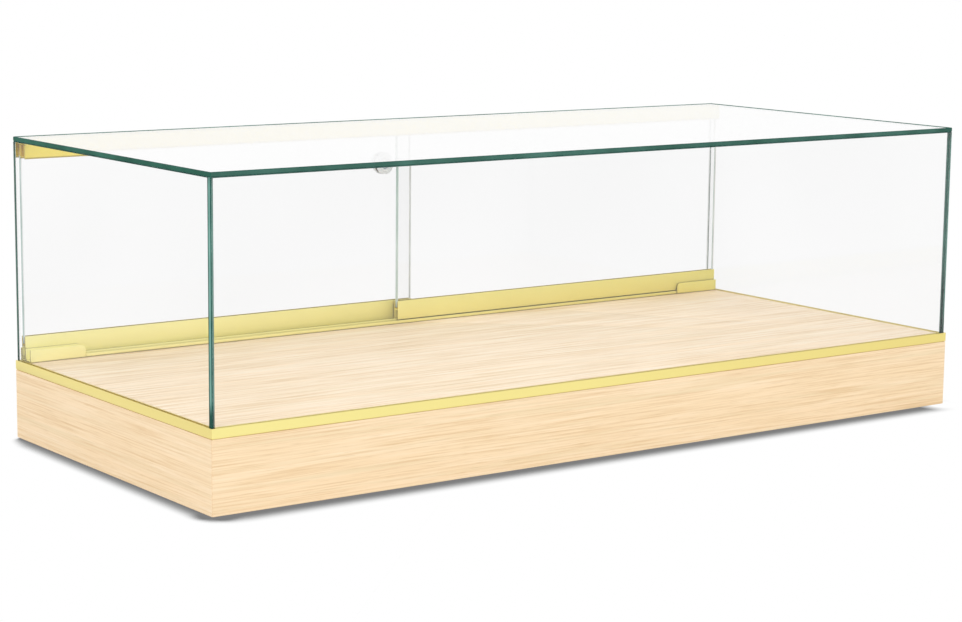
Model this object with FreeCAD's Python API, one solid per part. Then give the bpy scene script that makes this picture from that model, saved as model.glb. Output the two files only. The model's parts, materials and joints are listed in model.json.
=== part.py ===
import FreeCAD, Part
import math
import os

# Countertop display case in millimetres, +Z up, +X to the right and +Y to the back.
# The origin is on the counter, under the middle of the plinth.

# The whole case
case_width = 1000.0
case_depth = 430.0
case_height = 332.0
plinth_top = 77.0            # height of the trim's underside above the counter

# Oak plinth
panel_thickness = 18.0
deck_thickness = 10.0
deck_seam = 0.2              # joint between the deck and the trim
corner_block_width = 32.0
cleat_width = 22.0
cleat_height = 20.0
rail_width = 18.0
rail_height = 45.0
foot_height = 1.5
foot_diameter = 22.0

# Glass
glass_thickness = 5.0
back_margin = 1.0            # panes and tracks stop this far short of the plinth's back face

# Gold trim with the glazing strip that beds the panes
trim_wall = 1.2
trim_height = 10.5
trim_relief_depth = 0.8      # shadow gap between the plinth and the trim's outer edge
trim_relief_height = 0.5
strip_side = 0.4
strip_base = 1.0
strip_drop = 1.5             # the strip ends this far below the trim's top edge

# Door shoes: an H section with the glass above its web and the rollers below
shoe_wall = 1.2
shoe_web = 2.0
shoe_pocket = 9.4            # depth of the glass pocket
shoe_lift = 5.0              # height of the shoe's lower edge above the deck
gasket_side = 0.5
gasket_base = 0.6
gasket_drop = 1.0            # the gasket ends this far below the shoe's top edge

# Doors
door_end_gap = 2.4           # from a closed door to the inside of the end pane
door_overlap = 26.0
door_engagement = 8.0        # how far a door reaches up into the top track

# Tracks and end guides
track_wall = 1.4
shoe_gap = 0.5               # running clearance on each side of a shoe
track_floor = 1.5
rib_width = 1.4
rib_height = 6.0             # height of the running ribs above the deck
lip_height = 4.0
foot_relief_depth = 0.8      # shadow gap along the front foot of the track and the guides
foot_relief_height = 0.8
guide_length = 66.0
guide_height = 14.0
guide_step = 1.0             # the guides' front plates stand proud of the track by this much
guide_corner_radius = 5.0
guide_end_gap = 0.3          # from a guide to the trim beside it
track_joint = 0.8            # joint between the track and a guide
top_track_height = 18.0
top_track_end_gap = 0.4
glass_run_gap = 0.7          # from a door's glass to the liner on each side
liner_gap = 0.1
liner_recess = 2.6           # the liners end this far above the top track's lower edge

# Rollers in their carriages
roller_inset = 90.0          # from the end of the shoe to the axle
roller_groove_radius = 3.8
roller_flange = 1.0          # how far the flanges stand past the groove
roll_gap = 0.1
rib_side_gap = 0.2
roller_side_gap = 0.2
roller_roof_gap = 0.3
carriage_wall = 0.9
carriage_roof = 1.0
carriage_side_gap = 0.1
carriage_length = 16.0
carriage_cheek_drop = 2.5    # the cheeks reach this far below the axle
axle_radius = 1.0
axle_running_gap = 0.06
pin_gap = 0.02

# Push lock on the left door, near the corner where the doors overlap
lock_from_side = 39.0
lock_from_top = 39.0
lock_ring_radius = 11.0      # flange outside and ring nut inside
lock_washer_radius = 10.0
lock_washer_thickness = 0.6
lock_washer_gap = 0.3
lock_flange_thickness = 2.5
lock_nut_thickness = 2.4
lock_nut_gap = 0.05
lock_notch_width = 3.0
lock_notch_depth = 1.2
lock_sleeve_radius = 7.5
lock_hole_gap = 0.5
lock_head_radius = 9.0
lock_head_length = 6.5
lock_running_gap = 0.08
button_radius = 5.6
button_projection = 5.0      # how far the plunger's button stands out of the barrel
button_engagement = 2.0
stem_radius = 3.6
stem_tip_length = 1.5        # from the retaining clip to the plunger's tip
clip_recess_depth = 3.4
clip_recess_radius = 4.7
clip_radius = 4.4
clip_thickness = 0.8
clip_groove_depth = 0.6
clip_gap = 0.1
clip_opening = 3.0
core_radius = 3.0
core_length = 9.0
key_slot_width = 1.2
key_slot_height = 4.4
key_slot_depth = 7.0
spring_length = 9.0
spring_turns = 4
spring_wire = 1.0
spring_wire_sides = 12       # the round wire is drawn as a polygon
spring_end_gap = 0.1

# Countersunk screws
screw_head_radius = 2.9
screw_head_height = 1.4
screw_radius = 1.6
screw_fit_gap = 0.05
screw_bite = 7.0             # length of thread in the deck
screw_cross_length = 3.2
screw_cross_width = 0.8
screw_cross_depth = 0.7
track_screw_count = 5
cleat_screw_count = 4
screw_end_distance = 40.0

# Heights and places worked out from the sizes above
half_width = case_width / 2
half_depth = case_depth / 2
deck_top = plinth_top + deck_thickness
trim_width = 2 * (trim_wall + strip_side) + glass_thickness
pane_inset = trim_wall + strip_side
pane_bottom = plinth_top + trim_wall + strip_base
pane_top = case_height - glass_thickness
pane_inner_x = half_width - pane_inset - glass_thickness
glass_back = half_depth - back_margin

shoe_inside = glass_thickness + 2 * gasket_side
shoe_thickness = shoe_inside + 2 * shoe_wall
track_slot = shoe_thickness + 2 * shoe_gap
track_depth = 3 * track_wall + 2 * track_slot
outer_line = track_wall + track_slot / 2
inner_line = outer_line + track_slot + track_wall

axle_height = deck_top + rib_height + roll_gap + roller_groove_radius
roller_radius = roller_groove_radius + roller_flange
shoe_bottom = deck_top + shoe_lift
web_bottom = axle_height + roller_radius + roller_roof_gap + carriage_roof
pocket_bottom = web_bottom + shoe_web
shoe_top = pocket_bottom + shoe_pocket

top_track_bottom = pane_top - top_track_height
door_bottom = pocket_bottom + gasket_base
door_top = top_track_bottom + door_engagement
door_end = pane_inner_x - door_end_gap
guide_end = half_width - trim_width - guide_end_gap
guide_inner_end = guide_end - guide_length


def box(x0, x1, y0, y1, z0, z1):
    return Part.makeBox(x1 - x0, y1 - y0, z1 - z0, FreeCAD.Vector(x0, y0, z0))


def bar(x0, x1, t0, t1, z0, z1):
    # A box placed by its distance t forward of the plane of the panes' back edges
    return box(x0, x1, glass_back - t1, glass_back - t0, z0, z1)


def cylinder(radius, start, direction, length):
    return Part.makeCylinder(radius, length, FreeCAD.Vector(*start), FreeCAD.Vector(*direction))


def prism(corners, z0, z1):
    outline = [FreeCAD.Vector(x, y, z0) for x, y in corners]
    face = Part.Face(Part.makePolygon(outline + outline[:1]))
    return face.extrude(FreeCAD.Vector(0, 0, z1 - z0))


def joined(shapes):
    return shapes[0].multiFuse(shapes[1:]).removeSplitter()


def export(node, *solids):
    shape = solids[0] if len(solids) == 1 else Part.makeCompound(list(solids))
    shape.exportStep("parts/" + node + ".step")
    print(node, len(shape.Solids), "valid" if shape.isValid() else "NOT VALID")


def spread(low, high, count):
    # Evenly spaced places from low to high
    return [low + (high - low) * i / (count - 1) for i in range(count)]


def ring_side(side, inset, thickness, z0, z1, back_end=None):
    # One wall of the rectangular case, mitred where it meets its neighbours.
    # A back_end leaves the back open: the side walls then end square at that place.
    outer_x = half_width - inset
    inner_x = outer_x - thickness
    front = -half_depth + inset
    back_outer = half_depth - inset if back_end is None else back_end
    back_inner = back_outer - thickness if back_end is None else back_end
    if side == "front":
        corners = [(-outer_x, front), (outer_x, front)]
        corners += [(inner_x, front + thickness), (-inner_x, front + thickness)]
    elif side == "back":
        corners = [(-inner_x, back_inner), (inner_x, back_inner)]
        corners += [(outer_x, back_outer), (-outer_x, back_outer)]
    else:
        sign = -1 if side == "left" else 1
        corners = [(sign * outer_x, front), (sign * inner_x, front + thickness)]
        corners += [(sign * inner_x, back_inner), (sign * outer_x, back_outer)]
    return prism(corners, z0, z1)


def countersunk_screw(x, y, head_z, up, grip, gap=0.0):
    # A screw with its head flush at head_z; up is -1 for a screw driven downwards, 1 for upwards
    head_radius = screw_head_radius + gap
    shank_radius = screw_radius + gap
    way = FreeCAD.Vector(0, 0, up)
    start = FreeCAD.Vector(x, y, head_z)
    head = Part.makeCone(head_radius, shank_radius, screw_head_height, start, way)
    shank = Part.makeCylinder(shank_radius, grip, start, way)
    return joined([head, shank])


def cross_recess(x, y, head_z, up):
    half = screw_cross_length / 2
    thin = screw_cross_width / 2
    low = min(head_z, head_z + up * screw_cross_depth)
    high = low + screw_cross_depth
    one = box(x - half, x + half, y - thin, y + thin, low, high)
    other = box(x - thin, x + thin, y - half, y + half, low, high)
    return one.fuse(other)


def screw_set(places, head_z, up, grip):
    # The screws of one row, and the holes that they need
    screws = []
    holes = []
    for x, y in places:
        screw = countersunk_screw(x, y, head_z, up, grip)
        screws.append(screw.cut(cross_recess(x, y, head_z, up)))
        holes.append(countersunk_screw(x, y, head_z, up, grip + screw_fit_gap, screw_fit_gap))
    return screws, holes


def cut_all(shape, tools):
    for tool in tools:
        shape = shape.cut(tool)
    return shape


def make_plinth(track_holes):
    for side in ("front", "back", "left", "right"):
        panel = ring_side(side, 0.0, panel_thickness, foot_height, plinth_top)
        export("plinth_" + side + "_panel", panel)

    inside_x = half_width - panel_thickness
    inside_y = half_depth - panel_thickness
    blocks = []
    feet = []
    for sx in (-1, 1):
        for sy in (-1, 1):
            x0, x1 = sorted((sx * inside_x, sx * (inside_x - corner_block_width)))
            y0, y1 = sorted((sy * inside_y, sy * (inside_y - corner_block_width)))
            blocks.append(box(x0, x1, y0, y1, foot_height, plinth_top))
            start = ((x0 + x1) / 2, (y0 + y1) / 2, 0.0)
            feet.append(cylinder(foot_diameter / 2, start, (0, 0, 1), foot_height))
    export("corner_blocks", *blocks)
    export("rubber_feet", *feet)

    cleat_x = inside_x - corner_block_width
    cleat_bottom = plinth_top - cleat_height
    cleat_inner = inside_y - cleat_width
    screw_x = spread(-cleat_x + screw_end_distance, cleat_x - screw_end_distance, cleat_screw_count)
    all_screws = []
    all_holes = []
    for name, sy in (("front", -1), ("back", 1)):
        y0, y1 = sorted((sy * inside_y, sy * cleat_inner))
        places = [(x, (y0 + y1) / 2) for x in screw_x]
        screws, holes = screw_set(places, cleat_bottom, 1, cleat_height + screw_bite)
        cleat = box(-cleat_x, cleat_x, y0, y1, cleat_bottom, plinth_top)
        export(name + "_cleat", cut_all(cleat, holes))
        all_screws += screws
        all_holes += holes
    export("deck_screws", *all_screws)

    half_rail = rail_width / 2
    rail = box(-half_rail, half_rail, -cleat_inner, cleat_inner, plinth_top - rail_height, plinth_top)
    export("centre_rail", rail)

    deck_x = half_width - trim_width - deck_seam
    deck_front = -half_depth + trim_width + deck_seam
    deck = box(-deck_x, deck_x, deck_front, half_depth, plinth_top, deck_top)
    export("deck_panel", cut_all(deck, all_holes + track_holes))


def make_trim_and_panes():
    trim_top = plinth_top + trim_height
    groove_floor = plinth_top + trim_wall
    groove_width = trim_width - 2 * trim_wall
    relief_top = plinth_top + trim_relief_height
    strip_top = trim_top - strip_drop
    for side in ("front", "left", "right"):
        outside = ring_side(side, 0.0, trim_width, plinth_top, trim_top, half_depth)
        groove = ring_side(side, trim_wall, groove_width, groove_floor, trim_top, half_depth)
        relief = ring_side(side, 0.0, trim_relief_depth, plinth_top, relief_top, half_depth)
        export(side + "_trim", outside.cut(groove).cut(relief))

        bed = ring_side(side, trim_wall, groove_width, groove_floor, strip_top, glass_back)
        slot = ring_side(side, pane_inset, glass_thickness, pane_bottom, strip_top, glass_back)
        export(side + "_glazing_strip", bed.cut(slot))

    # The front pane runs over the side panes' front edges, and the top pane lies on all three
    pane_x = half_width - pane_inset
    front = -half_depth + pane_inset
    behind = front + glass_thickness
    export("front_glass", box(-pane_x, pane_x, front, behind, pane_bottom, pane_top))
    export("left_glass", box(-pane_x, -pane_inner_x, behind, glass_back, pane_bottom, pane_top))
    export("right_glass", box(pane_inner_x, pane_x, behind, glass_back, pane_bottom, pane_top))
    export("top_glass", box(-pane_x, pane_x, front, glass_back, pane_top, case_height))


def make_top_track():
    end = pane_inner_x - top_track_end_gap
    web_underside = pane_top - track_wall
    track = bar(-end, end, 0.0, track_depth, top_track_bottom, pane_top)
    for name, line in (("outer", outer_line), ("inner", inner_line)):
        half_slot = track_slot / 2
        half_liner = half_slot - liner_gap
        half_run = glass_thickness / 2 + glass_run_gap
        liner_wall = half_liner - half_run
        liner_bottom = top_track_bottom + liner_recess
        liner_roof = web_underside - liner_wall
        track = track.cut(bar(-end, end, line - half_slot, line + half_slot, top_track_bottom, web_underside))
        liner = bar(-end, end, line - half_liner, line + half_liner, liner_bottom, web_underside)
        run = bar(-end, end, line - half_run, line + half_run, liner_bottom, liner_roof)
        export(name + "_top_liner", liner.cut(run))
    export("top_track", track)


def make_bottom_track():
    # Returns the holes that the track's screws need in the deck
    end = guide_inner_end - track_joint
    floor_top = deck_top + track_floor
    lip_top = deck_top + lip_height
    rib_top = deck_top + rib_height
    rib_radius = rib_width / 2
    pieces = [bar(-end, end, 0.0, track_depth, deck_top, floor_top)]
    pieces.append(bar(-end, end, 0.0, track_wall, deck_top, lip_top))
    pieces.append(bar(-end, end, track_depth - track_wall, track_depth, deck_top, lip_top))
    for line in (outer_line, inner_line):
        pieces.append(bar(-end, end, line - rib_radius, line + rib_radius, deck_top, rib_top - rib_radius))
        start = (-end, glass_back - line, rib_top - rib_radius)
        pieces.append(cylinder(rib_radius, start, (1, 0, 0), 2 * end))
    track = joined(pieces)
    relief_top = deck_top + foot_relief_height
    track = track.cut(bar(-end, end, track_depth - foot_relief_depth, track_depth, deck_top, relief_top))

    middle = glass_back - (outer_line + inner_line) / 2
    screw_x = spread(-end + screw_end_distance, end - screw_end_distance, track_screw_count)
    places = [(x, middle) for x in screw_x]
    grip = track_floor + screw_bite
    all_screws, all_holes = screw_set(places, floor_top, -1, grip)
    export("bottom_track", cut_all(track, all_holes))

    guide_front = track_depth + guide_step
    guide_top = deck_top + guide_height
    outer_slot = (track_wall, track_wall + track_slot)
    inner_slot = (outer_slot[1] + track_wall, guide_front - track_wall)
    for name, sign in (("left", -1), ("right", 1)):
        x0, x1 = sorted((sign * guide_inner_end, sign * guide_end))
        guide = bar(x0, x1, 0.0, guide_front, deck_top, guide_top)
        guide = guide.cut(bar(x0, x1, guide_front - foot_relief_depth, guide_front, deck_top, relief_top))
        for t0, t1 in (outer_slot, inner_slot):
            guide = guide.cut(bar(x0, x1, t0, t1, floor_top, guide_top))
        arc_x = sign * (guide_inner_end + guide_corner_radius)
        arc_z = guide_top - guide_corner_radius
        corner_x0, corner_x1 = sorted((sign * guide_inner_end, arc_x))
        corner = bar(corner_x0, corner_x1, 0.0, guide_front, arc_z, guide_top)
        round_start = (arc_x, glass_back, arc_z)
        rounding = cylinder(guide_corner_radius, round_start, (0, -1, 0), guide_front)
        guide = guide.cut(corner.cut(rounding))
        middle_x = (x0 + x1) / 2
        places = [(middle_x, glass_back - (t0 + t1) / 2) for t0, t1 in (outer_slot, inner_slot)]
        screws, holes = screw_set(places, floor_top, -1, grip)
        export(name + "_end_guide", cut_all(guide, holes))
        all_screws += screws
        all_holes += holes
    export("track_screws", *all_screws)
    return all_holes


def make_shoe(name, x0, x1, line):
    half_shoe = shoe_thickness / 2
    half_inside = shoe_inside / 2
    half_glass = glass_thickness / 2
    shoe = bar(x0, x1, line - half_shoe, line + half_shoe, shoe_bottom, shoe_top)
    shoe = shoe.cut(bar(x0, x1, line - half_inside, line + half_inside, pocket_bottom, shoe_top))
    shoe = shoe.cut(bar(x0, x1, line - half_inside, line + half_inside, shoe_bottom, web_bottom))
    export(name + "_door_shoe", shoe)
    gasket_top = shoe_top - gasket_drop
    gasket = bar(x0, x1, line - half_inside, line + half_inside, pocket_bottom, gasket_top)
    gasket = gasket.cut(bar(x0, x1, line - half_glass, line + half_glass, door_bottom, gasket_top))
    export(name + "_shoe_gasket", gasket)


def make_roller(x, line, half_width_of_roller):
    back = glass_back - line + half_width_of_roller
    width = 2 * half_width_of_roller
    wheel = cylinder(roller_radius, (x, back, axle_height), (0, -1, 0), width)
    half_groove = rib_width / 2 + rib_side_gap
    groove_start = (x, glass_back - line + half_groove, axle_height)
    ring = cylinder(roller_radius, groove_start, (0, -1, 0), 2 * half_groove)
    ring = ring.cut(cylinder(roller_groove_radius, groove_start, (0, -1, 0), 2 * half_groove))
    bore = cylinder(axle_radius + axle_running_gap, (x, back, axle_height), (0, -1, 0), width)
    return wheel.cut(ring).cut(bore)


def make_running_gear(name, x0, x1, line):
    half_carriage = shoe_inside / 2 - carriage_side_gap
    half_gap = half_carriage - carriage_wall
    cheek_bottom = axle_height - carriage_cheek_drop
    roof_bottom = web_bottom - carriage_roof
    carriages = []
    pins = []
    for end, x in (("left", x0 + roller_inset), ("right", x1 - roller_inset)):
        low = x - carriage_length / 2
        high = x + carriage_length / 2
        carriage = bar(low, high, line - half_carriage, line + half_carriage, cheek_bottom, web_bottom)
        carriage = carriage.cut(bar(low, high, line - half_gap, line + half_gap, cheek_bottom, roof_bottom))
        start = (x, glass_back - line + half_carriage, axle_height)
        pin = cylinder(axle_radius, start, (0, -1, 0), 2 * half_carriage)
        pins.append(pin)
        carriages.append(carriage.cut(cylinder(axle_radius + pin_gap, start, (0, -1, 0), 2 * half_carriage)))
        export(name + "_door_" + end + "_roller", make_roller(x, line, half_gap - roller_side_gap))
    export(name + "_roller_carriages", *carriages)
    export(name + "_axle_pins", *pins)


def make_lock(lock_x, lock_z):
    # Returns the hole that the lock needs in the door's glass
    outer_face = outer_line - glass_thickness / 2
    inner_face = outer_line + glass_thickness / 2
    flange_front = outer_face - lock_washer_thickness
    flange_back = flange_front - lock_flange_thickness
    barrel_back = flange_back - lock_head_length
    nut_back = inner_face + lock_washer_thickness
    barrel_front = nut_back + lock_nut_thickness
    button_back = barrel_back - button_projection
    button_front = barrel_back + button_engagement
    spring_seat = button_front + spring_length
    clip_seat = barrel_front - clip_recess_depth
    clip_back = clip_seat + clip_gap
    clip_front = clip_back + clip_thickness
    plunger_tip = clip_front + stem_tip_length
    core_front = button_back + core_length

    def turned(radius, t0, t1):
        return cylinder(radius, (lock_x, glass_back - t0, lock_z), (0, -1, 0), t1 - t0)

    barrel = joined([
        turned(lock_head_radius, barrel_back, flange_back),
        turned(lock_ring_radius, flange_back, flange_front),
        turned(lock_sleeve_radius, flange_front, barrel_front),
    ])
    barrel = barrel.cut(turned(button_radius + lock_running_gap, barrel_back, spring_seat))
    barrel = barrel.cut(turned(stem_radius + lock_running_gap, barrel_back, barrel_front))
    barrel = barrel.cut(turned(clip_recess_radius, clip_seat, barrel_front))
    export("lock_barrel", barrel)

    washers = []
    for t0 in (flange_front, inner_face):
        washer = turned(lock_washer_radius, t0, t0 + lock_washer_thickness)
        hole = turned(lock_sleeve_radius + lock_washer_gap, t0, t0 + lock_washer_thickness)
        washers.append(washer.cut(hole))
    export("lock_washers", *washers)

    nut = turned(lock_ring_radius, nut_back, barrel_front)
    nut = nut.cut(turned(lock_sleeve_radius + lock_nut_gap, nut_back, barrel_front))
    half_notch = lock_notch_width / 2
    notch_inner = lock_ring_radius - lock_notch_depth
    for sign in (-1, 1):
        z0, z1 = sorted((lock_z + sign * notch_inner, lock_z + sign * lock_ring_radius))
        nut = nut.cut(bar(lock_x - half_notch, lock_x + half_notch, nut_back, barrel_front, z0, z1))
    export("lock_ring_nut", nut)

    plunger = joined([
        turned(button_radius, button_back, button_front),
        turned(stem_radius, button_front, plunger_tip),
    ])
    clip_seat_radius = stem_radius - clip_groove_depth
    groove = turned(stem_radius, clip_back, clip_front).cut(turned(clip_seat_radius, clip_back, clip_front))
    plunger = plunger.cut(groove)
    plunger = plunger.cut(turned(core_radius + lock_running_gap, button_back, core_front + lock_running_gap))
    export("lock_plunger", plunger)

    clip = turned(clip_radius, clip_back, clip_front).cut(turned(clip_seat_radius, clip_back, clip_front))
    half_opening = clip_opening / 2
    clip_low = lock_z - clip_radius
    mouth = bar(lock_x - half_opening, lock_x + half_opening, clip_back, clip_front, clip_low, lock_z)
    export("lock_retaining_clip", clip.cut(mouth))

    core = turned(core_radius, button_back, core_front)
    half_slot = key_slot_width / 2
    slot_low = lock_z - key_slot_height / 2
    slot_high = lock_z + key_slot_height / 2
    slot_front = button_back + key_slot_depth
    slot = bar(lock_x - half_slot, lock_x + half_slot, button_back, slot_front, slot_low, slot_high)
    export("lock_core", core.cut(slot))

    export("lock_spring", make_spring(lock_x, lock_z, button_front, spring_seat))
    return turned(lock_sleeve_radius + lock_hole_gap, outer_face, inner_face)


def make_spring(lock_x, lock_z, t0, t1):
    # A wire wound between the button and the seat in the barrel
    wire_radius = spring_wire / 2
    coil_radius = (stem_radius + button_radius + lock_running_gap) / 2
    coil_length = t1 - t0 - spring_wire - 2 * spring_end_gap
    rise = coil_length / spring_turns
    helix = Part.makeHelix(rise, coil_length, coil_radius)
    along = FreeCAD.Vector(0, 2 * math.pi * coil_radius, rise)
    tilt = FreeCAD.Rotation(FreeCAD.Vector(0, 0, 1), along)
    corners = []
    for angle in spread(0.0, 360.0, spring_wire_sides + 1):
        across = wire_radius * math.cos(math.radians(angle))
        aside = wire_radius * math.sin(math.radians(angle))
        corners.append(FreeCAD.Vector(coil_radius, 0, 0) + tilt.multVec(FreeCAD.Vector(across, aside, 0)))
    section = Part.makePolygon(corners[:-1] + corners[:1])
    sweep = Part.BRepOffsetAPI.MakePipeShell(Part.Wire(helix.Edges))
    sweep.setFrenetMode(True)
    sweep.add(section)
    sweep.build()
    sweep.makeSolid()
    spring = sweep.shape()
    spring.rotate(FreeCAD.Vector(0, 0, 0), FreeCAD.Vector(1, 0, 0), 90)
    spring.translate(FreeCAD.Vector(lock_x, glass_back - t0 - wire_radius - spring_end_gap, lock_z))
    return spring


def make_doors():
    half_overlap = door_overlap / 2
    half_glass = glass_thickness / 2
    lock_hole = make_lock(half_overlap - lock_from_side, door_top - lock_from_top)
    for name, x0, x1, line, holes in (
        ("left", -door_end, half_overlap, outer_line, [lock_hole]),
        ("right", -half_overlap, door_end, inner_line, []),
    ):
        glass = bar(x0, x1, line - half_glass, line + half_glass, door_bottom, door_top)
        export(name + "_door_glass", cut_all(glass, holes))
        make_shoe(name, x0, x1, line)
        make_running_gear(name, x0, x1, line)


os.makedirs("parts", exist_ok=True)
deck_track_holes = make_bottom_track()
make_plinth(deck_track_holes)
make_trim_and_panes()
make_top_track()
make_doors()
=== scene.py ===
import json
import math
import bmesh
import bpy
from mathutils import Euler, Matrix, Vector

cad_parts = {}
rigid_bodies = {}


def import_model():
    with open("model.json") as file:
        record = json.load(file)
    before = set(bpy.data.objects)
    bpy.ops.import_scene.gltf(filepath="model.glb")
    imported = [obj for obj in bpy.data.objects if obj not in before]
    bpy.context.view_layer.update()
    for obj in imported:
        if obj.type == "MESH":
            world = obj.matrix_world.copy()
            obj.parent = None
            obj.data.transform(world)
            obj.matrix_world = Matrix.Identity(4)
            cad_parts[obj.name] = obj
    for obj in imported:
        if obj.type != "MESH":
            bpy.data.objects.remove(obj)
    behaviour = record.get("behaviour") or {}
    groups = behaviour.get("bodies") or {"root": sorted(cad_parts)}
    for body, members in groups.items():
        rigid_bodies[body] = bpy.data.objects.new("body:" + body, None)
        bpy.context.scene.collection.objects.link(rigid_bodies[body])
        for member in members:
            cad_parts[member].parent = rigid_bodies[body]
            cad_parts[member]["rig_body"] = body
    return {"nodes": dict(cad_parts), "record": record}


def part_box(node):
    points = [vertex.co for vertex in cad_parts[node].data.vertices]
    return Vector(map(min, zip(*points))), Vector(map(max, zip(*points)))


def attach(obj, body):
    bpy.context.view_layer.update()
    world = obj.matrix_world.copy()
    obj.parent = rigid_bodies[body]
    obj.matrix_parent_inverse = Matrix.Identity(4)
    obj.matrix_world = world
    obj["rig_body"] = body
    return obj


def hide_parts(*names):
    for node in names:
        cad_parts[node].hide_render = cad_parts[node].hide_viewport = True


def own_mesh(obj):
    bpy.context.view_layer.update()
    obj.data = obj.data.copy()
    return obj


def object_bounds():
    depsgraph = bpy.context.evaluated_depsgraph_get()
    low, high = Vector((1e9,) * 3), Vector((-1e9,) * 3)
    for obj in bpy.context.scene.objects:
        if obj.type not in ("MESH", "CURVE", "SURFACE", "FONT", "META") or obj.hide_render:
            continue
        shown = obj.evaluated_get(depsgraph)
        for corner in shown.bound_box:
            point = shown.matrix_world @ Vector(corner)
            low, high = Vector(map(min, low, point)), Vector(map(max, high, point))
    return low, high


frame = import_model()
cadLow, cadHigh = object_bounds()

scene = bpy.context.scene
scene.view_settings.view_transform = "Standard"
scene.cycles.glossy_bounces = 12  # light goes to and fro many times between the faces of a pane seen flat
nodes = frame["nodes"]
slotOf = {part["node"]: part["material_slot"] for part in frame["record"]["subparts"]}
print("frame loaded,", len(nodes), "nodes")


def hexColour(code):
    # sRGB hex to the linear colour that the sockets take
    parts = [int(code[i:i + 2], 16) / 255 for i in (1, 3, 5)]
    return (*[c / 12.92 if c <= 0.04045 else ((c + 0.055) / 1.055) ** 2.4 for c in parts], 1.0)


white, black = hexColour("#FFFFFF"), hexColour("#000000")
noiseSpan = (0.3, 0.7)  # nearly all values of a noise texture lie in here
noiseMiddle = (0.35, 0.65)  # and most of them in here


def addNode(tree, kind, sockets=None, **settings):
    # a value that is itself a socket gets linked, anything else is typed in
    node = tree.nodes.new("ShaderNode" + kind)
    for name, value in settings.items():
        setattr(node, name, value)
    for socket, value in (sockets or {}).items():
        if isinstance(value, bpy.types.NodeSocket):
            tree.links.new(value, node.inputs[socket])
        else:
            node.inputs[socket].default_value = value
    return node


def emptyMaterial(name):
    material = bpy.data.materials.new(name)
    material.use_nodes = True
    material.node_tree.nodes.clear()
    return material, material.node_tree


def setRamp(node, *stops):
    while len(node.color_ramp.elements) < len(stops):
        node.color_ramp.elements.new(0.5)
    for element, (position, colour) in zip(node.color_ramp.elements, stops):
        element.position = position
        element.color = colour


def seenRay(tree):
    # 1 for what the camera sees, also in the gold and through the glass, and 0 for light on its way
    path = addNode(tree, "LightPath")
    seen = path.outputs["Is Camera Ray"]
    for kind in ("Is Glossy Ray", "Is Transmission Ray"):
        seen = addNode(tree, "Math", {0: seen, 1: path.outputs[kind]}, operation="MAXIMUM").outputs[0]
    return seen


# camera, fitted to the corners of the case in the photograph
cameraSettings = {
    "lens": 89.36, "sensor": 36.0,  # mm
    "place": (-1.5988, -2.1560, 0.5658),
    "heading": -36.061, "downTilt": 9.276, "roll": 0.603,  # degrees, and a heading of 0 looks along +Y
    "farthest": 100.0,  # m, past the end of the floor
}
cameraData = bpy.data.cameras.new("photoCamera")
cameraData.lens = cameraSettings["lens"]
cameraData.sensor_width = cameraSettings["sensor"]
cameraData.clip_end = cameraSettings["farthest"]
camera = bpy.data.objects.new("photoCamera", cameraData)
scene.collection.objects.link(camera)
aim = Euler((math.radians(90 - cameraSettings["downTilt"]), 0, math.radians(cameraSettings["heading"])))
roll = Matrix.Rotation(math.radians(cameraSettings["roll"]), 4, "Z")
camera.matrix_world = Matrix.Translation(cameraSettings["place"]) @ aim.to_matrix().to_4x4() @ roll
scene.camera = camera
print("camera placed")


# even studio light: a bright tent all round and four soft boxes on top of it
lightSettings = {
    "tent": 0.82,
    "aim": (0, 0, 0.15),
    "boxes": {
        "keyBox": {"place": (-2.0, -1.9, 2.2), "size": 1.8, "watts": 26.0},
        "fillBox": {"place": (2.2, -1.2, 1.8), "size": 1.8, "watts": 6.5},
        "topBox": {"place": (0.2, -0.2, 2.7), "size": 2.0, "watts": 8.0},
        "deckBox": {"place": (-0.05, 0.35, 1.5), "size": 0.6, "watts": 2.2},
    },
}
world = bpy.data.worlds.new("whiteTent")
scene.world = world
world.use_nodes = True
tree = world.node_tree
tree.nodes.clear()
tent = addNode(tree, "Background", {"Color": white, "Strength": lightSettings["tent"]})
backdrop = addNode(tree, "Background", {"Color": white, "Strength": 1.0})
mixed = addNode(tree, "MixShader", {0: seenRay(tree), 1: tent.outputs[0], 2: backdrop.outputs[0]})
addNode(tree, "OutputWorld", {"Surface": mixed.outputs[0]})
for name, box in lightSettings["boxes"].items():
    lamp = bpy.data.lights.new(name, "AREA")
    lamp.size = box["size"]
    lamp.energy = box["watts"]
    holder = bpy.data.objects.new(name, lamp)
    holder.location = box["place"]
    toCase = Vector(lightSettings["aim"]) - holder.location
    holder.rotation_euler = toCase.to_track_quat("-Z", "Y").to_euler()
    holder.visible_glossy = False  # the gold and the glass show the tent, not the boxes
    holder.visible_transmission = False
    scene.collection.objects.link(holder)

# white paper sweep under the case; what the camera sees is white apart from the shadow under the plinth
floorSettings = {
    "half": 30.0, "colour": "#F2F2F2",
    "shadowDark": 0.21, "shadowSpan": (0.47, 0.88),  # open shares of the sky at which it is darkest, and gone
    "shadowLean": (0.02, 0.2, 1.0),  # the sky counts more behind and to the right, so more falls in front
    "shadowReach": (0.024, 0.046), "leftEnd": (-0.04, 0.01),  # m, shorter beside the left wall than in front
    "backEnd": (0.040, 0.45),  # over these last metres at the back it narrows to this share
    "rightEnd": (0.016, 0.036),  # m from the front right corner, where it begins and is full
    "cornerSpan": (0.70, 0.98), "cornerReach": 0.033,  # the front left corner hides less sky than a wall
    "shadowSamples": 32,
}


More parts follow.
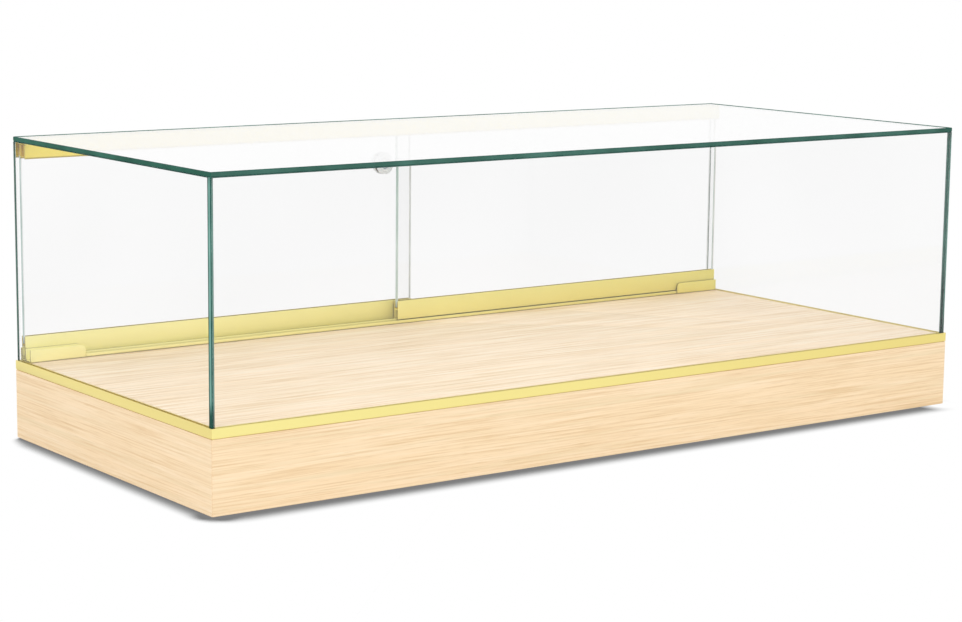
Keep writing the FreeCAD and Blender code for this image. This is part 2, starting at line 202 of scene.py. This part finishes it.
def paperSweep(name):
    s = floorSettings
    material, tree = emptyMaterial(name)
    place = addNode(tree, "TexCoord").outputs["Object"]
    lie = addNode(tree, "SeparateXYZ", {0: place})
    left, back = cadLow.x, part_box("plinth_left_panel")[1].y
    wide = addNode(tree, "MapRange", {0: lie.outputs["X"], 1: left + s["leftEnd"][0],
                                      2: left + s["leftEnd"][1],
                                      3: s["shadowReach"][0], 4: s["shadowReach"][1]})
    narrow = addNode(tree, "MapRange", {0: lie.outputs["Y"], 1: back - s["backEnd"][0], 2: back,
                                        3: 1.0, 4: s["backEnd"][1]})
    reach = addNode(tree, "Math", {0: wide.outputs[0], 1: narrow.outputs[0]}, operation="MULTIPLY")
    tail = addNode(tree, "VectorMath", {0: place, 1: (cadHigh.x, cadLow.y, 0)}, operation="DISTANCE")
    dark = addNode(tree, "MapRange", {0: tail.outputs["Value"], 1: s["rightEnd"][0], 2: s["rightEnd"][1],
                                      3: 1.0, 4: s["shadowDark"]})
    corner = addNode(tree, "VectorMath", {0: place, 1: (left, cadLow.y, 0)}, operation="DISTANCE")
    spans = []
    for there, here in zip(s["cornerSpan"], s["shadowSpan"]):
        span = addNode(tree, "MapRange", {0: corner.outputs["Value"], 1: 0.0, 2: s["cornerReach"],
                                          3: there, 4: here}, interpolation_type="SMOOTHSTEP")
        spans.append(span.outputs[0])
    lean = addNode(tree, "VectorMath", {0: s["shadowLean"]}, operation="NORMALIZE")
    sky = addNode(tree, "AmbientOcclusion", {"Distance": reach.outputs[0], "Normal": lean.outputs[0]},
                  samples=s["shadowSamples"])
    shade = addNode(tree, "MapRange", {0: sky.outputs["AO"], 1: spans[0], 2: spans[1],
                                       3: dark.outputs[0], 4: 1.0}, interpolation_type="SMOOTHSTEP")
    paper = addNode(tree, "BsdfDiffuse", {"Color": hexColour(s["colour"])})
    glow = addNode(tree, "Emission", {"Color": white, "Strength": shade.outputs[0]})
    mixed = addNode(tree, "MixShader", {0: seenRay(tree), 1: paper.outputs[0], 2: glow.outputs[0]})
    addNode(tree, "OutputMaterial", {"Surface": mixed.outputs[0]})
    return material


bm = bmesh.new()
bmesh.ops.create_grid(bm, x_segments=1, y_segments=1, size=floorSettings["half"])
mesh = bpy.data.meshes.new("floor")
bm.to_mesh(mesh)
bm.free()
mesh.materials.append(paperSweep("whitePaperSweep"))
floor = bpy.data.objects.new("floor", mesh)
scene.collection.objects.link(floor)
print("floor and light set")


# oak: quarter-cut veneer under matt lacquer, straight pale grain with fine darker streaks and open pores
oakSettings = {
    "boards": {"pale": "#FEE7C7", "base": "#F8DEB8", "dark": "#EACA9E", "contrast": 0.135},
    # painted light: the deck is toned paler than the boards, standing in for the brighter light on it from
    # above
    "deck": {"pale": "#FDF0DB", "base": "#F8E2C5", "dark": "#DFC193", "contrast": 0.10},
    "grain": {  # width and length in mm, and detail
        "band": (26, 600, 2), "streak": (1.8, 130, 5), "tint": (9, 420, 2),
        "pore": (0.9, 30, 1),  # real pores are a third of this width, too fine to show
    },
    "grainRoughness": 0.65, "bandShare": 0.16,
    "wander": 6.0, "wanderLength": 380, "wandersAcross": 12,  # mm, mm, and how many in a metre
    # colour, the values of its noise at which it sets in and is full, and its most
    "tints": (("#FBDDB4", 0.48, 0.66, 0.5), ("#EBD6AE", 0.48, 0.32, 0.5)),
    "pores": ("#D6B585", 0.60, 0.76, 0.4), "poreRelief": 0.25, "poreDepth": 0.0002,  # depth in m
    "roughness": (0.62, 0.50), "index": 1.5, "gloss": 0.3,
}


def oakVeneer(name, tones, turn=0.0):
    s = oakSettings
    material, tree = emptyMaterial(name)
    place = addNode(tree, "TexCoord")
    along = addNode(tree, "Mapping", {"Vector": place.outputs["Object"],
                                      "Rotation": (0, 0, math.radians(turn))})
    slowly = (1000 / s["wanderLength"], s["wandersAcross"], s["wandersAcross"])
    slow = addNode(tree, "Mapping", {"Vector": along.outputs[0], "Scale": slowly})
    wander = addNode(tree, "TexNoise", {"Vector": slow.outputs[0], "Scale": 1.0, "Detail": 1.0})
    reach = s["wander"] / 1000
    bent = addNode(tree, "VectorMath", {0: wander.outputs["Color"], 1: (0, reach, reach),
                                        2: along.outputs[0]}, operation="MULTIPLY_ADD")
    grain = {}
    for layer, (width, length, detail) in s["grain"].items():
        sized = addNode(tree, "Mapping", {"Vector": bent.outputs[0],
                                          "Scale": (1000 / length, 1000 / width, 1000 / width)})
        grain[layer] = addNode(tree, "TexNoise", {"Vector": sized.outputs[0], "Scale": 1.0, "Detail": detail,
                                                  "Roughness": s["grainRoughness"]}).outputs[0]
    both = addNode(tree, "Mix", {0: s["bandShare"], 2: grain["streak"], 3: grain["band"]}, data_type="FLOAT")
    tone = addNode(tree, "ValToRGB", {0: both.outputs[0]})
    setRamp(tone, (0.5 - tones["contrast"], hexColour(tones["dark"])), (0.5, hexColour(tones["base"])),
            (0.5 + tones["contrast"], hexColour(tones["pale"])))
    colour = tone.outputs[0]
    for tint, start, full, most in s["tints"]:  # warm runs, then cool ones
        share = addNode(tree, "MapRange", {0: grain["tint"], 1: start, 2: full, 3: 0.0, 4: most})
        colour = addNode(tree, "Mix", {0: share.outputs[0], 6: colour, 7: hexColour(tint)},
                         data_type="RGBA", blend_type="DARKEN").outputs[2]
    tint, start, full, most = s["pores"]
    pores = addNode(tree, "MapRange", {0: grain["pore"], 1: start, 2: full, 3: 0.0, 4: most})
    colour = addNode(tree, "Mix", {0: pores.outputs[0], 6: colour, 7: hexColour(tint)}, data_type="RGBA")
    rough = addNode(tree, "MapRange", {0: both.outputs[0], 1: noiseSpan[0], 2: noiseSpan[1],
                                       3: s["roughness"][0], 4: s["roughness"][1]})
    relief = addNode(tree, "Bump", {"Height": pores.outputs[0], "Strength": s["poreRelief"],
                                    "Distance": s["poreDepth"]}, invert=True)
    shader = addNode(tree, "BsdfPrincipled", {"Base Color": colour.outputs[2], "Roughness": rough.outputs[0],
                                              "Normal": relief.outputs[0], "IOR": s["index"],
                                              "Specular IOR Level": s["gloss"]})
    addNode(tree, "OutputMaterial", {"Surface": shader.outputs[0]})
    return material


oakAlongX = oakVeneer("oakVeneerLong", oakSettings["boards"])
oakAlongY = oakVeneer("oakVeneerShort", oakSettings["boards"], 90)
oakDeck = oakVeneer("oakVeneerDeck", oakSettings["deck"])


# gold anodised aluminium: extruded, etched and dyed, so a satin sheen with faint lines along the bar;
# the tone drifts from one end to the other as painted light falloff, with random dye patches, and creases and
# gaps between bars get painted shade
goldSettings = {
    # one gold in four tone sets, each toned for the light on its part and face (painted light and shade);
    # half is half the bar's length in mm, creaseShade how far the painted shade in creases goes, lip the
    # height in mm of the painted shade band on the top track
    "runners": {"light": "#FFF9AC", "deep": "#E9DC70", "metallic": 0.15, "half": 500, "creaseShade": 0.9},
    "topTrack": {"light": "#F4E05C", "deep": "#F5E88C", "metallic": 0.15, "half": 500, "creaseShade": 0.4,
                 "lip": 1.3},
    "frontTrim": {"light": "#FFF2A0", "deep": "#F0DE8A", "metallic": 0.9, "half": 500, "creaseShade": 0.0},
    "sideTrim": {"light": "#F8E894", "deep": "#F0DF8E", "metallic": 0.9, "half": 215, "creaseShade": 0.0},
    "dyeAndLightSpan": (0.1, 0.9), "patch": 140, "patchShare": 0.2,  # mm, and how much the patches count
    "lineSpacing": 1.2,  # mm; die lines are about 0.2 mm apart, drawn coarser to show
    "lineLength": 900, "lineRelief": 0.08, "lineDepth": 0.0001,  # depth in m
    "roughness": (0.38, 0.48),
    "paintedShadeOlive": "#907B22", "creaseShadeReach": 5, "creaseShadeSpan": (0.36, 0.62), "creaseShadeSamples": 8,  # reach in mm
    "lipShade": 0.75, "lipFade": 0.3,  # fade in mm
}


def goldAnodised(name, tones, turn=0.0):
    s = goldSettings
    material, tree = emptyMaterial(name)
    place = addNode(tree, "TexCoord")
    along = addNode(tree, "Mapping", {"Vector": place.outputs["Object"],
                                      "Rotation": (0, 0, math.radians(turn))})
    spacing = 1000 / s["lineSpacing"]
    fine = addNode(tree, "Mapping", {"Vector": along.outputs[0],
                                     "Scale": (1000 / s["lineLength"], spacing, spacing)})
    lines = addNode(tree, "TexNoise", {"Vector": fine.outputs[0], "Scale": 1.0, "Detail": 3.0,
                                       "Roughness": 0.7})
    patch = addNode(tree, "TexNoise", {"Vector": along.outputs[0], "Scale": 1000 / s["patch"], "Detail": 2.0})
    lie = addNode(tree, "SeparateXYZ", {0: along.outputs[0]})
    half = tones["half"] / 1000
    # painted light: the tone runs from light at one end of the bar to deep at the other, for light falling
    # off along it; the patches are the dye's own random tone
    drift = addNode(tree, "MapRange", {0: lie.outputs["X"], 1: -half, 2: half})
    dyeAndLightFalloff = addNode(tree, "Mix", {0: s["patchShare"], 2: drift.outputs[0], 3: patch.outputs[0]},
                  data_type="FLOAT")
    tone = addNode(tree, "ValToRGB", {0: dyeAndLightFalloff.outputs[0]})
    setRamp(tone, (s["dyeAndLightSpan"][0], hexColour(tones["light"])), (s["dyeAndLightSpan"][1], hexColour(tones["deep"])))
    colour = tone.outputs[0]
    paintedShadeOlive = []
    if tones["creaseShade"]:
        # painted shade: where the gold is closed in by nearby parts, in creases and gaps, it is mixed towards
        # the shade colour
        opening = addNode(tree, "AmbientOcclusion", {"Distance": s["creaseShadeReach"] / 1000},
                          samples=s["creaseShadeSamples"])
        paintedShadeOlive.append(addNode(tree, "MapRange", {0: opening.outputs["AO"], 1: s["creaseShadeSpan"][0],
                                                2: s["creaseShadeSpan"][1], 3: tones["creaseShade"], 4: 0.0}))
    if "lip" in tones:
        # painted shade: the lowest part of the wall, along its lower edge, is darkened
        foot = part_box("top_track")[0].z + tones["lip"] / 1000
        paintedShadeOlive.append(addNode(tree, "MapRange", {0: lie.outputs["Z"], 1: foot, 2: foot + s["lipFade"] / 1000,
                                                3: s["lipShade"], 4: 0.0}))
    for share in paintedShadeOlive:
        colour = addNode(tree, "Mix", {0: share.outputs[0], 6: colour, 7: hexColour(s["paintedShadeOlive"])},
                         data_type="RGBA").outputs[2]
    rough = addNode(tree, "MapRange", {0: lines.outputs[0], 1: noiseSpan[0], 2: noiseSpan[1],
                                       3: s["roughness"][0], 4: s["roughness"][1]})
    relief = addNode(tree, "Bump", {"Height": lines.outputs[0], "Strength": s["lineRelief"],
                                    "Distance": s["lineDepth"]})
    shader = addNode(tree, "BsdfPrincipled", {"Base Color": colour, "Metallic": tones["metallic"],
                                              "Roughness": rough.outputs[0], "Normal": relief.outputs[0]})
    addNode(tree, "OutputMaterial", {"Surface": shader.outputs[0]})
    return material


goldRunner = goldAnodised("goldAnodisedRunner", goldSettings["runners"])
goldTop = goldAnodised("goldAnodisedTop", goldSettings["topTrack"])
goldFront = goldAnodised("goldAnodisedFront", goldSettings["frontTrim"])
goldSide = goldAnodised("goldAnodisedSide", goldSettings["sideTrim"], 90)


# float glass: clear through the face, green where the eye looks into the polished edge
glassSettings = {
    "index": 1.52, "coatedIndex": 1.25,  # the side and back panes reflect as little as coated glass
    "near": ("#FDFDFD", "#FFFFFF"), "far": ("#F8F8F8", "#FAFAFA"), "top": ("#FBFBFB", "#FDFDFD"),
    "tintSize": 250,  # mm, over which the tint of a face drifts
    "through": "#FDFDFD", "mirror": "#FDFDFD",
    "sheen": 0.5, "sheenAngle": (0.80, 0.89),  # seen flat, the top pane shows half the tent
    "rimAngle": (0.86, 0.90), "rimRoughness": 0.3,  # facing values at which the rim turns from clear to green
    "streak": 60, "streakSpan": (0.35, 0.68),  # mm, length of the lighter runs along an edge
    "edgeGloss": 0.05,
    # mm of an upright edge that get painted shade from the trim and from the top pane
    "foot": (12, 26), "footShade": "#1A4F44", "headFade": 9, "headDark": 0.35,
    # one green edge in copies toned per pane and side for how each looks in its light: painted light and
    # shade on the glass's own green
    "edges": {
        "floatGlassEdgePale": {"dark": "#68988E", "light": "#82B2A8", "roughness": 0.15},
        "floatGlassEdge": {"dark": "#4E8478", "light": "#6EA296", "roughness": 0.15},
        "floatGlassEdgeDeep": {"dark": "#345C50", "light": "#4C766B", "roughness": 0.15},
        "floatGlassEdgeRight": {"dark": "#24564A", "light": "#3A7266", "roughness": 0.15, "foot": (50, 70),
                                "footShade": "#06332A"},
        "floatGlassEdgeShade": {"dark": "#1A5444", "light": "#30705E", "roughness": 0.15},
        "floatGlassEdgeFar": {"dark": "#0B2A24", "light": "#143A32", "roughness": 0.15},
        "floatGlassArris": {"dark": "#1C4A42", "light": "#33665B", "roughness": 0.35},
        "floatGlassDoorEdge": {"dark": "#A6BFB8", "light": "#CADAD6", "roughness": 0.2},
        "floatGlassDoorFar": {"dark": "#D0D4D3", "light": "#E6E9E9", "roughness": 0.2},
    },
}


def clearFace(name, index, tints, sheen=False, rim=None):
    s = glassSettings
    material, tree = emptyMaterial(name)
    place = addNode(tree, "TexCoord")
    drift = addNode(tree, "TexNoise", {"Vector": place.outputs["Object"], "Scale": 1000 / s["tintSize"],
                                       "Detail": 1.0})
    tint = addNode(tree, "ValToRGB", {0: drift.outputs[0]})
    setRamp(tint, (noiseSpan[0], hexColour(tints[0])), (noiseSpan[1], hexColour(tints[1])))
    pane = addNode(tree, "BsdfPrincipled", {"Base Color": tint.outputs[0], "Roughness": 0.0, "IOR": index,
                                            "Transmission Weight": 1.0})
    slant = addNode(tree, "LayerWeight", {"Blend": 0.5})
    if sheen:
        mirror = addNode(tree, "BsdfPrincipled", {"Base Color": hexColour(s["mirror"]), "Metallic": 1.0,
                                                  "Roughness": 0.0})
        flat = addNode(tree, "MapRange", {0: slant.outputs["Facing"], 1: s["sheenAngle"][0],
                                          2: s["sheenAngle"][1], 3: 0.0, 4: s["sheen"]})
        pane = addNode(tree, "MixShader", {0: flat.outputs[0], 1: pane.outputs[0], 2: mirror.outputs[0]})
    if rim:
        # seen flat, the last few millimetres of a pane show the green of its edge
        runs = addNode(tree, "TexNoise", {"Vector": place.outputs["Object"], "Scale": 1000 / s["streak"]})
        tone = addNode(tree, "ValToRGB", {0: runs.outputs[0]})
        setRamp(tone, (noiseMiddle[0], hexColour(s["edges"][rim]["dark"])),
                (noiseMiddle[1], hexColour(s["edges"][rim]["light"])))
        green = addNode(tree, "BsdfPrincipled", {"Base Color": tone.outputs[0], "IOR": s["index"],
                                                 "Roughness": s["rimRoughness"], "Specular IOR Level": 0.0})
        flat = addNode(tree, "MapRange", {0: slant.outputs["Facing"], 1: s["rimAngle"][0],
                                          2: s["rimAngle"][1]})
        pane = addNode(tree, "MixShader", {0: flat.outputs[0], 1: pane.outputs[0], 2: green.outputs[0]})
    path = addNode(tree, "LightPath")  # light on its way to the deck goes straight through
    through = addNode(tree, "BsdfTransparent", {"Color": hexColour(s["through"])})
    for ray in ("Is Diffuse Ray", "Is Shadow Ray"):
        pane = addNode(tree, "MixShader", {0: path.outputs[ray], 1: pane.outputs[0], 2: through.outputs[0]})
    addNode(tree, "OutputMaterial", {"Surface": pane.outputs[0]})
    return material


def greenEdge(name):
    s, glass = glassSettings["edges"][name], glassSettings
    material, tree = emptyMaterial(name)
    place = addNode(tree, "TexCoord")
    runs = addNode(tree, "TexNoise", {"Vector": place.outputs["Object"], "Scale": 1000 / glass["streak"],
                                      "Detail": 2.0, "Roughness": 0.6})
    tone = addNode(tree, "ValToRGB", {0: runs.outputs[0]})
    setRamp(tone, (glass["streakSpan"][0], hexColour(s["dark"])),
            (glass["streakSpan"][1], hexColour(s["light"])))
    # an upright edge gets painted shade where it stands in the trim, and a little under the top pane;
    # the last stop leaves the edges of the top pane as they are
    foot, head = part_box("front_trim")[1].z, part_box("top_glass")[0].z
    tall = (head - foot) * 1000
    height = addNode(tree, "SeparateXYZ", {0: place.outputs["Object"]})
    span = addNode(tree, "MapRange", {0: height.outputs["Z"], 1: foot, 2: head})
    ends = addNode(tree, "ValToRGB", {0: span.outputs[0]})
    footDark, footFade = s.get("foot", glass["foot"])
    setRamp(ends, (footDark / tall, white), (footFade / tall, black), (1 - glass["headFade"] / tall, black),
            (0.999, (glass["headDark"],) * 3 + (1.0,)), (1.0, black))
    shaded = s.get("footShade", glass["footShade"])
    colour = addNode(tree, "Mix", {0: ends.outputs[0], 6: tone.outputs[0], 7: hexColour(shaded)},
                     data_type="RGBA")
    shader = addNode(tree, "BsdfPrincipled", {"Base Color": colour.outputs[2], "Roughness": s["roughness"],
                                              "IOR": glass["index"],
                                              "Specular IOR Level": glass["edgeGloss"]})
    addNode(tree, "OutputMaterial", {"Surface": shader.outputs[0]})
    return material


frontFace = clearFace("floatGlassFront", glassSettings["index"], glassSettings["near"])
leftFace = clearFace("floatGlassSide", glassSettings["coatedIndex"], glassSettings["near"])
farFace = clearFace("floatGlassBack", glassSettings["coatedIndex"], glassSettings["far"])
topFace = clearFace("floatGlassTop", glassSettings["index"], glassSettings["top"], sheen=True)
topRim = clearFace("floatGlassRim", glassSettings["index"], glassSettings["top"], rim="floatGlassEdgeDeep")
edgeFinish = {name: greenEdge(name) for name in glassSettings["edges"]}


# small hardware: light and deep tone, metallic, roughness, size of the variation in mm, gloss
hardwareSettings = {
    "satinChromePlate": ("#E8EEF2", "#E0E6EA", 0.3, (0.45, 0.55), 1.5, 0.5),  # pale, cool and softly shining
    "zincPlatedSteel": ("#C4C6C9", "#A9ABAF", 1.0, (0.30, 0.45), 2.0, 0.5),  # mottled grey, bright in places
    "turnedBrass": ("#D9BC74", "#C4A355", 1.0, (0.25, 0.38), 1.0, 0.5),  # warm yellow with sharp glints
    "mouldedNylon": ("#ECE9E0", "#E0DCD1", 0.0, (0.40, 0.52), 3.0, 0.5),  # milky white, a dull shine
    "amberVinyl": ("#D0AA14", "#BC980E", 0.0, (0.5, 0.6), 8.0, 0.05),  # soft honey colour, little shine
    "vulcanisedFibre": ("#6B625A", "#554D46", 0.0, (0.75, 0.88), 0.8, 0.5),  # dry grey-brown card
    "mouldedRubber": ("#242424", "#161616", 0.0, (0.65, 0.80), 1.2, 0.5),  # flat black
    "planedPine": ("#ECD2A2", "#DDBB82", 0.0, (0.60, 0.72), 4.0, 0.5),  # bare pale yellow wood, no shine
}
hardwareRelief = {"strength": 0.1, "depth": 0.0001}  # m


def hardware(name):
    light, deep, metallic, roughness, size, gloss = hardwareSettings[name]
    material, tree = emptyMaterial(name)
    place = addNode(tree, "TexCoord")
    grit = addNode(tree, "TexNoise", {"Vector": place.outputs["Object"], "Scale": 1000 / size, "Detail": 3.0})
    tone = addNode(tree, "ValToRGB", {0: grit.outputs[0]})
    setRamp(tone, (noiseMiddle[0], hexColour(deep)), (noiseMiddle[1], hexColour(light)))
    rough = addNode(tree, "MapRange", {0: grit.outputs[0], 1: noiseSpan[0], 2: noiseSpan[1],
                                       3: roughness[0], 4: roughness[1]})
    relief = addNode(tree, "Bump", {"Height": grit.outputs[0], "Strength": hardwareRelief["strength"],
                                    "Distance": hardwareRelief["depth"]})
    shader = addNode(tree, "BsdfPrincipled", {"Base Color": tone.outputs[0], "Metallic": metallic,
                                              "Roughness": rough.outputs[0], "Normal": relief.outputs[0],
                                              "Specular IOR Level": gloss})
    addNode(tree, "OutputMaterial", {"Surface": shader.outputs[0]})
    return material


finishes = {name: hardware(name) for name in hardwareSettings}
slotFinish = {
    "softwood": "planedPine", "clear_pvc": "amberVinyl", "nylon": "mouldedNylon", "steel": "zincPlatedSteel",
    "satin_chrome": "satinChromePlate", "brass": "turnedBrass", "fibre": "vulcanisedFibre",
    "rubber": "mouldedRubber",
}
for node, item in nodes.items():
    if slotOf[node] in slotFinish:
        item.data.materials.clear()
        item.data.materials.append(finishes[slotFinish[slotOf[node]]])
print("materials made")


def addPiece(bm, node, materials):
    # puts the finished bmesh in the place of its node
    mesh = bpy.data.meshes.new(node + "_piece")
    bm.to_mesh(mesh)
    bm.free()
    for material in materials:
        mesh.materials.append(material)
    piece = bpy.data.objects.new(node + "_piece", mesh)
    scene.collection.objects.link(piece)
    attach(piece, nodes[node]["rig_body"])
    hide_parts(node)
    return piece


copySettings = {
    "merge": 1e-6, "speck": 1e-7,  # m, what counts as one point, and as no face at all
    "flat": 0.5, "corner": 35.0, "shaded": 30.0,  # degrees: dissolved, eased, shaded sharp
    "steps": 2,
}


def easedCopy(node, ease, material, corner=copySettings["corner"]):
    # the node's own shape, merged, with its outer corners eased as a maker would break them
    s = copySettings
    bm = bmesh.new()
    bm.from_mesh(nodes[node].data)
    bmesh.ops.remove_doubles(bm, verts=bm.verts[:], dist=s["merge"])
    bmesh.ops.dissolve_limit(bm, angle_limit=math.radians(s["flat"]), verts=bm.verts[:], edges=bm.edges[:])
    corners = [e for e in bm.edges if e.is_manifold and e.calc_face_angle_signed(0) > math.radians(corner)]
    bmesh.ops.bevel(bm, geom=corners, offset=ease, offset_type="OFFSET", segments=s["steps"], profile=0.5,
                    affect="EDGES", clamp_overlap=True, material=-1)
    bmesh.ops.dissolve_degenerate(bm, dist=s["speck"], edges=bm.edges[:])
    for face in bm.faces:
        face.smooth = True
    piece = addPiece(bm, node, [material])
    piece.data.set_sharp_from_angle(angle=math.radians(s["shaded"]))
    return piece


# oak boards, with the arrises taken off
boards = {"ease": 0.0006, "finish": {
    "plinth_front_panel": oakAlongX, "plinth_back_panel": oakAlongX, "plinth_left_panel": oakAlongY,
    "plinth_right_panel": oakAlongY, "deck_panel": oakDeck}}
for node, finish in boards["finish"].items():
    easedCopy(node, boards["ease"], finish)

# gold bars, with the die's small corner radius
bars = {"ease": 0.0003, "finish": {
    "front_trim": goldFront, "left_trim": goldSide, "right_trim": goldSide, "top_track": goldTop,
    "bottom_track": goldRunner, "left_end_guide": goldRunner, "right_end_guide": goldRunner,
    "left_door_shoe": goldRunner, "right_door_shoe": goldRunner}}
for node, finish in bars["finish"].items():
    easedCopy(node, bars["ease"], finish)
print("boards and bars eased")

# panes: clear faces, polished edges, ground arrises; the hair of a gap keeps touching panes apart
panes = {
    "arris": 0.0007, "gap": 0.00005, "rim": 0.0095, "holeRadius": 0.008, "holeSides": 64,
    "square": 60.0,  # degrees, past which a corner gets its arris
    # across is the axis that a pane is thin along; back and right edges are the far ones
    "front_glass": {"across": 1, "face": frontFace, "front": "floatGlassEdgePale",
                    "left": "floatGlassEdgePale", "far": "floatGlassEdgePale", "ground": "floatGlassArris"},
    "left_glass": {"across": 0, "face": leftFace, "front": "floatGlassEdge",
                   "left": "floatGlassEdge", "far": "floatGlassEdgeDeep", "ground": "floatGlassArris"},
    "right_glass": {"across": 0, "face": farFace, "front": "floatGlassEdgeRight",
                    "left": "floatGlassEdgeRight", "far": "floatGlassDoorFar", "ground": "floatGlassArris"},
    "top_glass": {"across": 2, "face": topFace, "front": "floatGlassEdgeDeep",
                  "left": "floatGlassEdgeShade", "far": "floatGlassEdgeFar", "ground": "floatGlassArris"},
    "left_door_glass": {"across": 1, "face": farFace, "front": "floatGlassDoorEdge",
                        "left": "floatGlassDoorEdge", "far": "floatGlassDoorFar",
                        "ground": "floatGlassDoorFar"},
    "right_door_glass": {"across": 1, "face": farFace, "front": "floatGlassDoorEdge",
                         "left": "floatGlassDoorEdge", "far": "floatGlassDoorFar",
                         "ground": "floatGlassDoorEdge"},
}
paneSlots = {"face": 0, "front": 1, "left": 2, "far": 3, "ground": 4, "rim": 5}


def makePane(node, hole=None):
    s = panes[node]
    low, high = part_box(node)
    hair = Vector([panes["gap"]] * 3)
    low, high = low + hair, high - hair
    bm = bmesh.new()
    if hole is None:
        bmesh.ops.create_cube(bm, size=1.0)
        bmesh.ops.scale(bm, vec=high - low, verts=bm.verts[:])
        bmesh.ops.translate(bm, vec=(low + high) / 2, verts=bm.verts[:])
    else:
        # the outline and the drilled hole, filled and drawn out to the thickness
        upright = Matrix.Rotation(math.radians(90), 4, "X")
        bmesh.ops.create_grid(bm, x_segments=1, y_segments=1, size=0.5, matrix=upright)
        bmesh.ops.delete(bm, geom=bm.faces[:], context="FACES_ONLY")
        bmesh.ops.scale(bm, vec=(high.x - low.x, 1, high.z - low.z), verts=bm.verts[:])
        bmesh.ops.translate(bm, vec=((low.x + high.x) / 2, low.y, (low.z + high.z) / 2), verts=bm.verts[:])
        bmesh.ops.create_circle(bm, segments=panes["holeSides"], radius=panes["holeRadius"],
                                matrix=Matrix.Translation((hole.x, low.y, hole.z)) @ upright)
        bmesh.ops.triangle_fill(bm, use_beauty=True, edges=bm.edges[:], normal=(0, -1, 0))
        grown = bmesh.ops.extrude_face_region(bm, geom=bm.faces[:])
        moved = [v for v in grown["geom"] if isinstance(v, bmesh.types.BMVert)]
        bmesh.ops.translate(bm, vec=(0, high.y - low.y, 0), verts=moved)
        bmesh.ops.recalc_face_normals(bm, faces=bm.faces[:])
    corners = [e for e in bm.edges if abs(e.calc_face_angle_signed(0)) > math.radians(panes["square"])]
    bmesh.ops.bevel(bm, geom=corners, offset=panes["arris"], offset_type="OFFSET", segments=1, profile=0.5,
                    affect="EDGES", clamp_overlap=True, material=-1)
    isTop = node == "top_glass"
    rimX, rimY = high.x - panes["rim"], high.y - panes["rim"]
    if isTop:
        for edge, away in (((rimX, 0, 0), (1, 0, 0)), ((0, rimY, 0), (0, 1, 0))):
            bmesh.ops.bisect_plane(bm, geom=bm.verts[:] + bm.edges[:] + bm.faces[:],
                                   dist=copySettings["merge"], plane_co=edge, plane_no=away)
    bm.normal_update()
    for face in bm.faces:
        lean = abs(face.normal[s["across"]])
        middle = face.calc_center_median()
        if lean > 0.99:  # square to the thickness
            onRim = isTop and face.normal.z > 0 and (middle.x > rimX or middle.y > rimY)
            side = "rim" if onRim else "face"
        elif lean > 0.01:  # at 45 degrees to it
            side = "ground"
        elif face.normal.x + face.normal.y > 0.5:
            side = "far"
        else:
            side = "left" if face.normal.x < -0.5 else "front"
        face.material_index = paneSlots[side]
    edges = [edgeFinish[s[side]] for side in ("front", "left", "far", "ground")]
    return addPiece(bm, node, [s["face"]] + edges + ([topRim] if isTop else []))


lockLow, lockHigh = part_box("lock_ring_nut")
for node in ("front_glass", "left_glass", "right_glass", "top_glass", "right_door_glass"):
    makePane(node)
makePane("left_door_glass", (lockLow + lockHigh) / 2)
print("panes made")

# lock and the pieces under the case
turnedParts = {"ease": 0.0003,
               "nodes": ("lock_barrel", "lock_ring_nut", "lock_plunger", "lock_core", "rubber_feet")}
for node in turnedParts["nodes"]:
    easedCopy(node, turnedParts["ease"], finishes[slotFinish[slotOf[node]]])
timber = {"ease": 0.001, "nodes": ("corner_blocks", "front_cleat", "back_cleat", "centre_rail")}
for node in timber["nodes"]:
    easedCopy(node, timber["ease"], finishes["planedPine"])

# the spring sits between the barrel and the plunger's head and shortens in the real lock as the plunger goes
# in; here it only gets a mesh of its own, and none of it is eased
spring = {"node": "lock_spring", "joint": "lock_plunger_press", "finish": "zincPlatedSteel", "corner": 180.0}
coil = easedCopy(spring["node"], 0.0, finishes[spring["finish"]], spring["corner"])
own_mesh(coil)
print("lock, spring and timber made")
